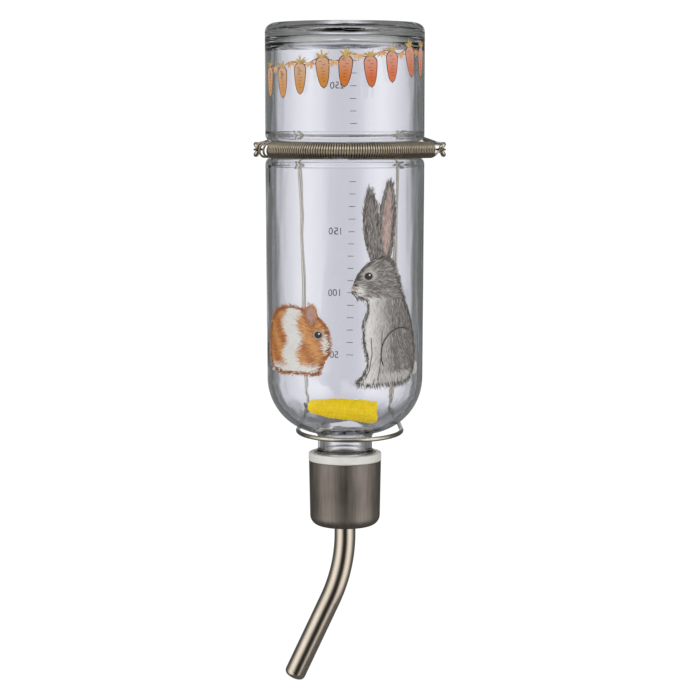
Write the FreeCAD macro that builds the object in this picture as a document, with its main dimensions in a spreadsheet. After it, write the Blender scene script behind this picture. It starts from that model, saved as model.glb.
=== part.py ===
import FreeCAD, Part
import Sketcher
import math
import os

from FreeCAD import Placement, Rotation, Vector

# Small-animal drinking bottle: an inverted glass bottle with a screw cap and a
# ball-valve drinking tube, held to a cage by one bent wire and a coil spring.
#
# Model frame: +Z up, +Y towards the cage, +X along the cage bars. The origin is
# the middle of the two cage-hook seats, where the wire rests on the cage bar.
# All lengths are in millimetres.

doc = FreeCAD.newDocument("drinking_bottle")
sheet = doc.addObject("Spreadsheet::Sheet", "dims")

# Driving values: (alias, value, meaning).
DRIVING = [
    # where the bottle hangs, measured from the cage-hook seats
    ("axis_fwd", 32.8, "bottle axis in front of the hook seats"),
    ("axis_left", 1.7, "bottle hangs this far to the left in the loose holder"),
    ("groove_drop", 4.2, "spring groove below the hook seats"),
    # glass bottle, heights above its open mouth
    ("mouth_bore", 7.4, "neck bore radius"),
    ("neck_rad", 9.5, "thread root and neck radius"),
    ("neck_lip", 0.6, "rounding at the mouth"),
    ("bead_low", 17.4, "underside of the neck bead"),
    ("bead_high", 19.2, "top side of the neck bead"),
    ("bead_round", 0.95, "section radius of the bead"),
    ("waist_rad", 9.75, "neck radius above the bead"),
    ("neck_high", 23.2, "height where the neck flares"),
    ("flare_rad", 11.7, "radius where the flare meets the shoulder"),
    ("flare_high", 25.4, "height where the flare meets the shoulder"),
    ("flare_round", 2.3, "flare radius"),
    ("shoulder_rad", 27.85, "body radius at the top of the shoulder"),
    ("shoulder_high", 45.1, "height of the top of the shoulder"),
    ("shoulder_round", 20.12, "shoulder arc radius"),
    ("body_rad", 28.3, "body radius at the groove"),
    ("groove_high", 126.5, "height of the groove centre"),
    ("groove_half", 5.17, "groove half height at the body surface"),
    ("groove_knee", 2.91, "half height where the groove arc ends"),
    ("knee_rad", 26.9, "radius where the groove arc ends"),
    ("knee_round", 2.53, "rounding of the groove edges"),
    ("groove_round", 3.25, "groove section radius"),
    ("heel_high", 167.6, "height where the heel begins"),
    ("heel_rad", 25.05, "outer radius of the bearing ring"),
    ("heel_round", 3.3, "heel radius"),
    ("base_high", 170.9, "overall height of the bottle"),
    ("base_ring", 22.6, "inner radius of the bearing ring"),
    ("punt_high", 167.1, "height of the middle of the hollow base"),
    ("shoulder_wall", 1.8, "glass wall at the shoulder"),
    ("body_wall", 2.1, "glass wall of the body"),
    ("in_flare_high", 24.6, "height where the bore flares"),
    ("in_flare_rad", 9.6, "radius where the bore flare meets the shoulder"),
    ("in_flare_end", 26.8, "height where the bore flare meets the shoulder"),
    ("in_flare_round", 2.5, "bore flare radius"),
    ("in_groove_rad", 23.1, "inner radius at the groove"),
    ("in_groove_half", 6.5, "inner half height of the groove wave"),
    ("in_wave_round", 4.27, "inner groove wave radius"),
    ("in_heel_high", 160.9, "height where the inner heel begins"),
    ("in_heel_rad", 20.6, "radius where the inner heel ends"),
    ("in_heel_end", 166.1, "height where the inner heel ends"),
    ("in_heel_round", 5.6, "inner heel radius"),
    ("in_punt_high", 162.7, "inner height of the base middle"),
    # screw thread
    ("pitch", 3.0, "thread pitch"),
    ("neck_crest", 10.4, "thread crest radius on the neck"),
    ("neck_turns", 1.5, "turns of thread on the neck"),
    ("neck_start", 3.4, "height of the thread start above the mouth"),
    ("ridge_base", 1.4, "neck ridge width at its root"),
    ("ridge_top", 0.7, "neck ridge width at its crest"),
    ("cap_bore", 10.65, "thread bore radius in the liner"),
    ("cap_crest", 9.8, "thread crest radius in the liner"),
    ("cap_turns", 1.75, "turns of thread in the liner"),
    ("cap_ridge_base", 1.1, "liner ridge width at its root"),
    ("cap_ridge_top", 0.6, "liner ridge width at its crest"),
    ("sink", 0.3, "depth a ridge is let into its wall"),
    # cap, heights above the underside of the liner
    ("liner_drop", 8.05, "liner underside below the bottle mouth"),
    ("liner_low_rad", 12.0, "liner skirt radius at the bottom"),
    ("liner_top_rad", 12.35, "liner skirt radius at the flange"),
    ("liner_corner", 3.3, "liner corner radius"),
    ("liner_corner_rad", 8.7, "radius where the liner corner ends"),
    ("flange_low", 22.9, "flange underside"),
    ("flange_rad", 13.1, "flange radius"),
    ("flange_edge", 0.5, "flange edge rounding"),
    ("liner_high", 25.95, "liner height"),
    ("liner_mouth", 11.2, "liner mouth radius"),
    ("mouth_taper", 24.95, "height where the mouth taper ends"),
    ("seal_seat", 5.85, "height of the bottle seal seat"),
    ("well_rad", 6.6, "radius of the tube flange well"),
    ("well_low", 1.85, "floor of the well"),
    ("hole_play", 0.2, "play of the drinking tube in its hole"),
    # stainless cap shell, heights above its underside
    ("shell_drop", 8.75, "shell underside below the bottle mouth"),
    ("shell_low_rad", 12.6, "shell radius at the bottom"),
    ("shell_top_rad", 13.0, "shell radius at the rim"),
    ("shell_corner", 3.75, "outer corner radius"),
    ("shell_wall", 0.5, "sheet thickness"),
    ("shell_high", 23.55, "shell height"),
    # seals
    ("seal_bore", 7.0, "bottle seal bore radius"),
    ("seal_rad", 10.3, "bottle seal radius"),
    ("seal_thick", 2.15, "bottle seal thickness"),
    ("grommet_play", 0.05, "play of the drinking tube in its seal"),
    ("grommet_rad", 6.3, "tube seal radius"),
    ("grommet_thick", 1.6, "tube seal thickness"),
    ("seal_edge", 0.3, "seal edge chamfer"),
    # drinking tube, lengths from its tip
    ("tube_rad", 3.82, "outer radius of the tube"),
    ("tube_bore", 3.32, "inner radius of the tube"),
    ("tip_open", 2.35, "radius of the crimped opening"),
    ("tip_round", 2.0, "outer crimp radius"),
    ("tip_round_in", 1.5, "inner crimp radius"),
    ("tip_straight", 31.8, "straight length at the tip"),
    ("bend_rad", 58.0, "bend radius on the centreline"),
    ("bend_deg", 25.0, "bend angle in degrees"),
    ("stem", 7.2, "straight length from the bend to the flange"),
    ("tube_flange", 5.8, "flange radius"),
    ("tube_flange_thick", 0.8, "flange thickness"),
    ("inlet_half", 2.35, "half width of the pinched inlet that keeps the balls in"),
    ("inlet_high", 1.0, "height of the pinched inlet"),
    ("ball_rad", 2.9, "radius of each valve ball"),
    ("ball_seat", 2.43, "height of the tip ball centre above the tip"),
    ("ball_gap", 0.05, "gap between the two balls"),
    # float
    ("cob_long", 25.6, "length of the float"),
    ("cob_rad", 4.35, "largest radius"),
    ("cob_tip_rad", 2.7, "radius where the narrow end rounds off"),
    ("cob_high", 33.7, "height of the resting float above the bottle mouth"),
    ("cob_tilt", 5.0, "tilt of the resting float in degrees"),
    ("cob_left", 1.1, "float centre to the left of the bottle axis"),
    ("kernel_rings", 15, "rings of kernels"),
    ("kernel_rows", 12, "rows of kernels"),
    ("kernel_depth", 0.28, "depth of the kernel grooves"),
    ("kernel_round", 0.95, "rounding of the kernels"),
    ("cob_blunt", 1.1, "height of the first ring of kernels"),
    ("cob_blunt_rad", 2.9, "flat radius of the blunt end"),
    ("cob_blunt_round", 1.3, "rounding of the blunt end"),
    ("cob_nose", 1.5, "rounded part of the narrow end"),
    ("cob_barrel", 0.35, "share of the length before the taper"),
    ("cob_taper", 1.6, "exponent of the taper"),
    ("slot_width", 0.26, "width of the slots between kernel rows"),
    ("slot_deep", 0.45, "depth of the slots on the barrel"),
    ("slot_tip_deep", 0.67, "depth of the slots at the narrow end"),
    # wire holder, from the cage-hook seats
    ("wire_rad", 0.8, "radius of the holder wire"),
    ("throat", 5.0, "clear width of each cage hook"),
    ("hook_drop", 10.5, "depth of each cage hook below its seat"),
    ("hook_side", 20.0, "inner hook wire from the middle"),
    ("hairpin", 2.6, "spacing of the two wires of a hook"),
    ("hook_bend", 2.4, "bend radius over the cage bar"),
    ("pin_bend", 1.287, "bend radius at the foot of a hook"),
    ("eye_side", 33.3, "arms from the middle at the spring eyes"),
    ("eye_fwd", 38.9, "spring eyes in front of the hook seats"),
    ("eye_deep", 1.7, "depth of the V that makes an eye"),
    ("eye_half", 1.85, "half height of the V"),
    ("eye_bend", 1.2, "bend radius of the V"),
    ("eye_tail", 3.0, "length of wire behind an eye"),
    ("arm_splay", 7.0, "splay of the arms at the eyes in degrees"),
    ("arm_straight", 16.5, "straight length of an arm behind its eye"),
    ("arm_bend", 12.0, "bend radius where an arm turns inwards"),
    ("arm_level", 2.0, "distance in front of a hook where its arm levels out"),
    ("arm_end_bend", 5.0, "bend radius where an arm levels out"),
    ("ring_rad", 18.6, "centreline radius of the neck ring"),
    ("ring_drop", 104.9, "neck ring below the hook seats"),
    ("ring_tilt", 3.0, "slope of the neck ring in degrees, front down"),
    ("ring_back_side", 17.0, "upright wires from the middle at the bottom"),
    ("ring_bend", 2.6, "bend radius where an upright joins the neck ring"),
    # spring
    ("coil_rad", 2.56, "centreline radius of the coils"),
    ("coil_wire", 0.38, "radius of the spring wire"),
    ("coil_pitch", 0.835, "pitch of the closed coils"),
    ("coil_open_pitch", 2.5, "pitch of the stretched coils at the left end"),
    ("coil_open_turns", 3.0, "number of stretched coils"),
    ("coil_seat", 28.4, "radius of the spring centreline round the groove"),
    ("loop_rad", 1.5, "centreline radius of the end loops"),
    ("coil_start_left", 2.7, "distance from the left eye to the first coil"),
    ("coil_start_right", 5.3, "distance from the right eye to the last coil"),
]

for row, (alias, value, meaning) in enumerate(DRIVING, start=1):
    sheet.set("A%d" % row, meaning)
    sheet.set("B%d" % row, str(value))
    sheet.setAlias("B%d" % row, alias)

# Values that follow from the driving ones: (alias, formula).
DERIVED = [
    ("axis_at_x", "=0 - axis_left"),
    ("axis_at_y", "=0 - axis_fwd"),
    ("mouth_at_z", "=0 - groove_drop - groove_high"),
    ("groove_lo", "=groove_high - groove_half"),
    ("groove_hi", "=groove_high + groove_half"),
    ("knee_lo", "=groove_high - groove_knee"),
    ("knee_hi", "=groove_high + groove_knee"),
    ("mouth_in_edge", "=mouth_bore + neck_lip"),
    ("mouth_out_edge", "=neck_rad - neck_lip"),
    ("in_shoulder_rad", "=shoulder_rad - shoulder_wall"),
    ("in_shoulder_round", "=shoulder_round - shoulder_wall"),
    ("in_body_rad", "=body_rad - body_wall"),
    ("in_wave_lo", "=groove_high - in_groove_half"),
    ("in_wave_hi", "=groove_high + in_groove_half"),
    ("in_wave_mid_lo", "=groove_high - in_groove_half / 2"),
    ("in_wave_mid_hi", "=groove_high + in_groove_half / 2"),
    ("in_wave_mid", "=(in_body_rad + in_groove_rad) / 2"),
    ("punt_rise", "=base_high - punt_high"),
    ("punt_round", "=(base_ring * base_ring + punt_rise * punt_rise) / (2 * punt_rise)"),
    ("in_punt_rise", "=in_heel_end - in_punt_high"),
    ("in_punt_round", "=(in_heel_rad * in_heel_rad + in_punt_rise * in_punt_rise) / (2 * in_punt_rise)"),
    ("tube_hole", "=tube_rad + hole_play"),
    ("grommet_bore", "=tube_rad + grommet_play"),
    ("liner_at_z", "=mouth_at_z - liner_drop"),
    ("shell_at_z", "=mouth_at_z - shell_drop"),
    ("seal_at_z", "=liner_at_z + seal_seat"),
    ("grommet_at_z", "=liner_at_z + well_low"),
    ("flange_in_edge", "=flange_rad - flange_edge"),
    ("flange_low_edge", "=flange_low + flange_edge"),
    ("flange_top_edge", "=liner_high - flange_edge"),
    ("shell_corner_rad", "=shell_low_rad - shell_corner"),
    ("shell_in_low", "=shell_low_rad - shell_wall"),
    ("shell_in_top", "=shell_top_rad - shell_wall"),
    ("shell_in_corner", "=shell_corner - shell_wall"),
    ("seal_bore_edge", "=seal_bore + seal_edge"),
    ("seal_out_edge", "=seal_rad - seal_edge"),
    ("seal_top_edge", "=seal_thick - seal_edge"),
    ("grommet_bore_edge", "=grommet_bore + seal_edge"),
    ("grommet_out_edge", "=grommet_rad - seal_edge"),
    ("grommet_top_edge", "=grommet_thick - seal_edge"),
    ("neck_ridge_lo", "=neck_start - ridge_base / 2"),
    ("neck_ridge_hi", "=neck_start + ridge_base / 2"),
    ("neck_crest_lo", "=neck_start - ridge_top / 2"),
    ("neck_crest_hi", "=neck_start + ridge_top / 2"),
    ("neck_ridge_in", "=neck_rad - sink"),
    ("cap_start", "=liner_drop + neck_start - pitch / 2"),
    ("cap_ridge_lo", "=cap_start - cap_ridge_base / 2"),
    ("cap_ridge_hi", "=cap_start + cap_ridge_base / 2"),
    ("cap_crest_lo", "=cap_start - cap_ridge_top / 2"),
    ("cap_crest_hi", "=cap_start + cap_ridge_top / 2"),
    ("cap_ridge_out", "=cap_bore + sink"),
    ("tip_bow", "=tip_open - tube_rad + tip_round"),
    ("tip_edge", "=tip_round - sqrt(tip_round * tip_round - tip_bow * tip_bow)"),
    ("tip_bow_in", "=tip_open - tube_bore + tip_round_in"),
    ("tip_edge_in", "=tip_round - sqrt(tip_round_in * tip_round_in - tip_bow_in * tip_bow_in)"),
    ("inlet_left", "=0 - inlet_half"),
    ("inlet_back", "=sqrt(tube_bore * tube_bore - inlet_half * inlet_half)"),
    ("inlet_front", "=0 - inlet_back"),
    ("tube_shift", "=bend_rad * (1 - cos(bend_deg * 1 deg)) + tip_straight * sin(bend_deg * 1 deg)"),
    ("tube_fall", "=stem + bend_rad * sin(bend_deg * 1 deg) + tip_straight * cos(bend_deg * 1 deg)"),
    ("tip_at_x", "=axis_at_x - tube_shift"),
    ("tip_at_z", "=grommet_at_z + grommet_thick - tube_fall"),
    ("ball_step", "=ball_seat + 2 * ball_rad + ball_gap"),
    ("lean_x", "=sin(bend_deg * 1 deg)"),
    ("lean_z", "=cos(bend_deg * 1 deg)"),
    ("bend_in_x", "=bend_rad * (1 - cos(bend_deg * 1 deg))"),
    ("bend_in_z", "=tip_straight + bend_rad * sin(bend_deg * 1 deg)"),
    ("stem_in_x", "=bend_in_x + stem * sin(bend_deg * 1 deg)"),
    ("stem_in_z", "=bend_in_z + stem * cos(bend_deg * 1 deg)"),
    ("slot_rad", "=cob_rad - slot_deep"),
    ("slot_out", "=cob_rad + 2"),
    ("slot_turn", "=cob_long * 0.5"),
    ("slot_tip_rad", "=cob_tip_rad - slot_tip_deep"),
    ("cob_at_x", "=axis_at_x - cob_left"),
    ("cob_at_z", "=mouth_at_z + cob_high"),
]

for row, (alias, formula) in enumerate(DERIVED, start=len(DRIVING) + 1):
    sheet.set("A%d" % row, "derived")
    sheet.set("B%d" % row, formula)
    sheet.setAlias("B%d" % row, alias)

doc.recompute()


def val(alias):
    """The number in the cell with this alias; 0 is the axis itself."""
    return 0.0 if alias == 0 else float(sheet.get(alias))


def place(obj, x=0, y=0, z=0):
    """Tie an object's position to cells."""
    for axis_name, alias in (("x", x), ("y", y), ("z", z)):
        if alias != 0:
            obj.setExpression("Placement.Base." + axis_name, "dims." + alias)


def origin_plane(body, role):
    return [f for f in body.Origin.OriginFeatures if f.Role == role][0]


def new_body(label):
    body = doc.addObject("PartDesign::Body", label)
    body.Label = label
    return body


def new_sketch(body, name, role):
    sketch = body.newObject("Sketcher::SketchObject", name)
    sketch.AttachmentSupport = [(origin_plane(body, role), "")]
    sketch.MapMode = "FlatFace"
    return sketch


def arc_middle(start, end, radius):
    """Middle point of the shorter arc; a positive radius turns left."""
    chord = end - start
    half = chord.Length / 2
    bow = abs(radius) - math.sqrt(max(radius * radius - half * half, 0.0))
    left = Vector(-chord.y, chord.x, 0).normalize()
    side = -1 if radius > 0 else 1
    return (start + end) * 0.5 + left * (bow * side)


def outline(sketch, points):
    """Closed outline whose corners and arc radii are all tied to cells.

    Each entry is (x cell, y cell, arc), where arc is None for a straight run to
    the next corner or (radius cell, +1 or -1) for an arc turning left or right.
    """
    spots = [Vector(val(x), val(y), 0) for x, y, _ in points]
    ends = []
    for i, (_, _, arc) in enumerate(points):
        start = spots[i]
        end = spots[(i + 1) % len(spots)]
        if arc is None:
            gid = sketch.addGeometry(Part.LineSegment(start, end), False)
            ends.append((gid, 1, 2))
            continue
        middle = arc_middle(start, end, arc[1] * val(arc[0]))
        gid = sketch.addGeometry(Part.Arc(start, middle, end), False)
        forward = sketch.getPoint(gid, 1).distanceToPoint(start) < 1e-6
        ends.append((gid, 1, 2) if forward else (gid, 2, 1))
    for i, (gid, _, last) in enumerate(ends):
        follower, first, _ = ends[(i + 1) % len(ends)]
        sketch.addConstraint(Sketcher.Constraint("Coincident", gid, last, follower, first))
    for (gid, first, _), (x, y, arc) in zip(ends, points):
        if x == 0:
            sketch.addConstraint(Sketcher.Constraint("PointOnObject", gid, first, -2))
        else:
            tie(sketch, Sketcher.Constraint("DistanceX", -1, 1, gid, first, val(x)), x)
        if y == 0:
            sketch.addConstraint(Sketcher.Constraint("PointOnObject", gid, first, -1))
        else:
            tie(sketch, Sketcher.Constraint("DistanceY", -1, 1, gid, first, val(y)), y)
        if arc is not None:
            tie(sketch, Sketcher.Constraint("Radius", gid, val(arc[0])), arc[0])


def tie(sketch, constraint, alias):
    index = sketch.addConstraint(constraint)
    sketch.setExpression("Constraints[%d]" % index, "dims." + alias)


def turned(body, name, points):
    """Turn an outline in the XZ plane about the body's own Z axis."""
    sketch = new_sketch(body, name + "_outline", "XZ_Plane")
    outline(sketch, points)
    feature = body.newObject("PartDesign::Revolution", name)
    feature.Profile = sketch
    feature.ReferenceAxis = (sketch, ["V_Axis"])
    feature.Angle = 360
    sketch.Visibility = False
    doc.recompute()
    return feature


# ---------------------------------------------------------------- glass bottle
bottle = new_body("bottle")
turned(bottle, "bottle_glass", [
    ("mouth_bore", "neck_lip", ("neck_lip", 1)),
    ("mouth_in_edge", 0, None),
    ("mouth_out_edge", 0, ("neck_lip", 1)),
    ("neck_rad", "neck_lip", None),
    ("neck_rad", "bead_low", ("bead_round", 1)),
    ("waist_rad", "bead_high", None),
    ("waist_rad", "neck_high", ("flare_round", -1)),
    ("flare_rad", "flare_high", ("shoulder_round", 1)),
    ("shoulder_rad", "shoulder_high", None),
    ("body_rad", "groove_lo", ("knee_round", 1)),
    ("knee_rad", "knee_lo", ("groove_round", -1)),
    ("knee_rad", "knee_hi", ("knee_round", 1)),
    ("body_rad", "groove_hi", None),
    ("body_rad", "heel_high", ("heel_round", 1)),
    ("heel_rad", "base_high", None),
    ("base_ring", "base_high", ("punt_round", -1)),
    (0, "punt_high", None),
    (0, "in_punt_high", ("in_punt_round", 1)),
    ("in_heel_rad", "in_heel_end", ("in_heel_round", -1)),
    ("in_body_rad", "in_heel_high", None),
    ("in_body_rad", "in_wave_hi", ("in_wave_round", -1)),
    ("in_wave_mid", "in_wave_mid_hi", ("in_wave_round", 1)),
    ("in_groove_rad", "groove_high", ("in_wave_round", 1)),
    ("in_wave_mid", "in_wave_mid_lo", ("in_wave_round", -1)),
    ("in_body_rad", "in_wave_lo", None),
    ("in_shoulder_rad", "shoulder_high", ("in_shoulder_round", -1)),
    ("in_flare_rad", "in_flare_end", ("in_flare_round", 1)),
    ("mouth_bore", "in_flare_high", None),
])


def thread_ridge(body, name, points, turns):
    """Add a helical ridge to a body, rising along its own Z axis."""
    sketch = new_sketch(body, name + "_section", "XZ_Plane")
    outline(sketch, points)
    feature = body.newObject("PartDesign::AdditiveHelix", name)
    feature.Profile = sketch
    feature.ReferenceAxis = (sketch, ["V_Axis"])
    feature.Mode = "pitch-turns-angle"
    feature.setExpression("Pitch", "dims.pitch")
    feature.setExpression("Turns", "dims." + turns)
    sketch.Visibility = False
    before = body.Shape.Volume
    doc.recompute()
    if body.Shape.Volume <= before:
        raise RuntimeError("%s added nothing" % name)


thread_ridge(bottle, "neck_thread", [
    ("neck_ridge_in", "neck_ridge_lo", None),
    ("neck_rad", "neck_ridge_lo", None),
    ("neck_crest", "neck_crest_lo", None),
    ("neck_crest", "neck_crest_hi", None),
    ("neck_rad", "neck_ridge_hi", None),
    ("neck_ridge_in", "neck_ridge_hi", None),
], "neck_turns")
place(bottle, "axis_at_x", "axis_at_y", "mouth_at_z")

# ------------------------------------------------------------------- cap liner
cap_insert = new_body("cap_insert")
turned(cap_insert, "liner", [
    ("tube_hole", 0, None),
    ("liner_corner_rad", 0, ("liner_corner", 1)),
    ("liner_low_rad", "liner_corner", None),
    ("liner_top_rad", "flange_low", None),
    ("flange_in_edge", "flange_low", ("flange_edge", 1)),
    ("flange_rad", "flange_low_edge", None),
    ("flange_rad", "flange_top_edge", ("flange_edge", 1)),
    ("flange_in_edge", "liner_high", None),
    ("liner_mouth", "liner_high", None),
    ("cap_bore", "mouth_taper", None),
    ("cap_bore", "seal_seat", None),
    ("well_rad", "seal_seat", None),
    ("well_rad", "well_low", None),
    ("tube_hole", "well_low", None),
])
thread_ridge(cap_insert, "liner_thread", [
    ("cap_crest", "cap_crest_lo", None),
    ("cap_bore", "cap_ridge_lo", None),
    ("cap_ridge_out", "cap_ridge_lo", None),
    ("cap_ridge_out", "cap_ridge_hi", None),
    ("cap_bore", "cap_ridge_hi", None),
    ("cap_crest", "cap_crest_hi", None),
], "cap_turns")
place(cap_insert, "axis_at_x", "axis_at_y", "liner_at_z")

# ------------------------------------------------------------------- cap shell
cap_shell = new_body("cap_shell")
turned(cap_shell, "shell", [
    ("tube_hole", 0, None),
    ("shell_corner_rad", 0, ("shell_corner", 1)),
    ("shell_low_rad", "shell_corner", None),
    ("shell_top_rad", "shell_high", None),
    ("shell_in_top", "shell_high", None),
    ("shell_in_low", "shell_corner", ("shell_in_corner", -1)),
    ("shell_corner_rad", "shell_wall", None),
    ("tube_hole", "shell_wall", None),
])
place(cap_shell, "axis_at_x", "axis_at_y", "shell_at_z")


def washer(label, bore, bore_edge, out_edge, out, top_edge, top, z):
    body = new_body(label)
    turned(body, label + "_ring", [
        (bore, "seal_edge", None),
        (bore_edge, 0, None),
        (out_edge, 0, None),
        (out, "seal_edge", None),
        (out, top_edge, None),
        (out_edge, top, None),
        (bore_edge, top, None),
        (bore, top_edge, None),
    ])
    place(body, "axis_at_x", "axis_at_y", z)
    return body


bottle_seal = washer("bottle_seal", "seal_bore", "seal_bore_edge", "seal_out_edge",
                     "seal_rad", "seal_top_edge", "seal_thick", "seal_at_z")
tube_seal = washer("tube_seal", "grommet_bore", "grommet_bore_edge", "grommet_out_edge",
                   "grommet_rad", "grommet_top_edge", "grommet_thick", "grommet_at_z")

# --------------------------------------------------------------- drinking tube
# The body's own Z axis is the axis of the straight run at the tip.
drinking_tube = new_body("drinking_tube")
turned(drinking_tube, "tip_run", [
    ("tip_open", "tip_edge", ("tip_round", 1)),
    ("tube_rad", "tip_round", None),
    ("tube_rad", "tip_straight", None),
    ("tube_bore", "tip_straight", None),
    ("tube_bore", "tip_round", ("tip_round_in", -1)),
    ("tip_open", "tip_edge_in", None),
])


def circle_sketch(body, name, radii):
    """Sketch across the Z axis with circles about it, one for each cell."""
    sketch = new_sketch(body, name, "XY_Plane")
    for alias in radii:
        gid = sketch.addGeometry(Part.Circle(Vector(), Vector(0, 0, 1), val(alias)), False)
        sketch.addConstraint(Sketcher.Constraint("Coincident", gid, 3, -1, 1))
        tie(sketch, Sketcher.Constraint("Radius", gid, val(alias)), alias)
    return sketch


def pad(body, name, sketch, length):
    feature = body.newObject("PartDesign::Pad", name)
    feature.Profile = sketch
    feature.setExpression("Length", "dims." + length)
    sketch.Visibility = False
    doc.recompute()
    return feature


spine = new_sketch(drinking_tube, "bend_line", "XZ_Plane")
lean = math.radians(val("bend_deg"))
bend = val("bend_rad")
run_end = Vector(0, val("tip_straight"), 0)
bend_mid = run_end + Vector(-bend * (1 - math.cos(lean / 2)), bend * math.sin(lean / 2), 0)
bend_end = Vector(-val("bend_in_x"), val("bend_in_z"), 0)
stem_end = Vector(-val("stem_in_x"), val("stem_in_z"), 0)
curve = spine.addGeometry(Part.Arc(run_end, bend_mid, bend_end), False)
stem = spine.addGeometry(Part.LineSegment(bend_end, stem_end), False)
spine.addConstraint(Sketcher.Constraint("Coincident", curve, 2, stem, 1))
spine.addConstraint(Sketcher.Constraint("PointOnObject", curve, 1, -2))
tie(spine, Sketcher.Constraint("DistanceY", -1, 1, curve, 1, val("tip_straight")), "tip_straight")
tie(spine, Sketcher.Constraint("Radius", curve, bend), "bend_rad")
tie(spine, Sketcher.Constraint("DistanceX", stem, 1, -1, 1, val("bend_in_x")), "bend_in_x")
tie(spine, Sketcher.Constraint("DistanceY", -1, 1, stem, 1, val("bend_in_z")), "bend_in_z")
tie(spine, Sketcher.Constraint("DistanceX", stem, 2, -1, 1, val("stem_in_x")), "stem_in_x")
tie(spine, Sketcher.Constraint("DistanceY", -1, 1, stem, 2, val("stem_in_z")), "stem_in_z")

wall_ring = circle_sketch(drinking_tube, "wall_ring", ["tube_rad", "tube_bore"])
wall_ring.setExpression("AttachmentOffset.Base.z", "dims.tip_straight")
upper = drinking_tube.newObject("PartDesign::AdditivePipe", "bend_and_stem")
upper.Profile = wall_ring
upper.Spine = spine
wall_ring.Visibility = False
spine.Visibility = False
doc.recompute()


def across_stem(sketch, rise=None):
    """Stand a sketch square across the top of the stem."""
    sketch.AttachmentOffset = Placement(stem_end, Rotation(Vector(0, -1, 0), val("bend_deg")))
    up_x = "-dims.stem_in_x"
    up_z = "dims.stem_in_z"
    if rise is not None:
        up_x += " - dims.%s * dims.lean_x" % rise
        up_z += " + dims.%s * dims.lean_z" % rise
    sketch.setExpression("AttachmentOffset.Base.x", up_x)
    sketch.setExpression("AttachmentOffset.Base.y", "0")
    sketch.setExpression("AttachmentOffset.Base.z", up_z)
    sketch.setExpression("AttachmentOffset.Rotation.Angle", "dims.bend_deg")


flange_ring = circle_sketch(drinking_tube, "flange_ring", ["tube_flange", "tube_bore"])
across_stem(flange_ring)
pad(drinking_tube, "tube_collar", flange_ring, "tube_flange_thick")
inlet_ring = circle_sketch(drinking_tube, "inlet_ring", ["tube_rad"])
outline(inlet_ring, [
    ("inlet_half", "inlet_back", ("tube_bore", 1)),
    ("inlet_left", "inlet_back", None),
    ("inlet_left", "inlet_front", ("tube_bore", 1)),
    ("inlet_half", "inlet_front", None),
])
across_stem(inlet_ring, "tube_flange_thick")
pad(drinking_tube, "pinched_inlet", inlet_ring, "inlet_high")
drinking_tube.Placement = Placement(Vector(), Rotation(Vector(0, 1, 0), val("bend_deg")))
drinking_tube.setExpression("Placement.Rotation.Angle", "dims.bend_deg")
place(drinking_tube, "tip_at_x", "axis_at_y", "tip_at_z")


def valve_ball(label, along):
    """Steel ball on the axis of the straight run, this far from the tip."""
    ball = doc.addObject("Part::Sphere", label)
    ball.Label = label
    ball.setExpression("Radius", "dims.ball_rad")
    ball.setExpression("Placement.Base.x", "dims.tip_at_x + dims.%s * dims.lean_x" % along)
    ball.setExpression("Placement.Base.y", "dims.axis_at_y")
    ball.setExpression("Placement.Base.z", "dims.tip_at_z + dims.%s * dims.lean_z" % along)
    return ball


tip_ball = valve_ball("tip_ball", "ball_seat")
upper_ball = valve_ball("upper_ball", "ball_step")

# ----------------------------------------------------------------------- float
# The body's own Z axis runs from the blunt end to the narrow end.
cob_float = new_body("cob_float")
rings = int(val("kernel_rings"))
row = len(DRIVING) + len(DERIVED)
for i in range(rings + 1):
    row += 1
    high = "=cob_blunt + (cob_long - cob_blunt - cob_nose) * %d / kernel_rings" % i
    sheet.set("B%d" % row, high)
    sheet.setAlias("B%d" % row, "valley_high_%d" % i)
    row += 1
    share = "max(0; (%d / kernel_rings - cob_barrel) / (1 - cob_barrel))" % i
    taper = "(cob_rad - cob_tip_rad) * pow(%s; cob_taper)" % share
    sheet.set("B%d" % row, "=cob_rad - kernel_depth - " + taper)
    sheet.setAlias("B%d" % row, "valley_rad_%d" % i)
row += 1
nose_base = "valley_rad_%d" % rings
sheet.set("B%d" % row, "=(%s * %s + cob_nose * cob_nose) / (2 * cob_nose)" % (nose_base, nose_base))
sheet.setAlias("B%d" % row, "cob_nose_round")
doc.recompute()
cob_points = [(0, 0, None), ("cob_blunt_rad", 0, ("cob_blunt_round", 1))]
for i in range(rings):
    cob_points.append(("valley_rad_%d" % i, "valley_high_%d" % i, ("kernel_round", 1)))
cob_points.append(("valley_rad_%d" % rings, "valley_high_%d" % rings, ("cob_nose_round", 1)))
cob_points.append((0, "cob_long", None))
turned(cob_float, "cob", cob_points)

slot = new_sketch(cob_float, "row_slot", "XZ_Plane")
outline(slot, [
    ("slot_rad", 0, None),
    ("slot_out", 0, None),
    ("slot_out", "cob_long", None),
    ("slot_tip_rad", "cob_long", None),
    ("slot_rad", "slot_turn", None),
])
row_cut = cob_float.newObject("PartDesign::Pocket", "row_cut")
row_cut.Profile = slot
row_cut.Midplane = True
row_cut.setExpression("Length", "dims.slot_width")
slot.Visibility = False
doc.recompute()
pattern = cob_float.newObject("PartDesign::PolarPattern", "rows")
pattern.Originals = [row_cut]
pattern.Axis = ([f for f in cob_float.Origin.OriginFeatures if f.Role == "Z_Axis"][0], [""])
pattern.Angle = 360
pattern.setExpression("Occurrences", "dims.kernel_rows")
cob_float.Tip = pattern
doc.recompute()
cob_float.Placement = Placement(Vector(), Rotation(Vector(0, -1, 0), 90 - val("cob_tilt")))
cob_float.setExpression("Placement.Rotation.Angle", "90 - dims.cob_tilt")
cob_float.setExpression("Placement.Base.x", "dims.cob_at_x + dims.cob_long / 2 * cos(dims.cob_tilt * 1 deg)")
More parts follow.
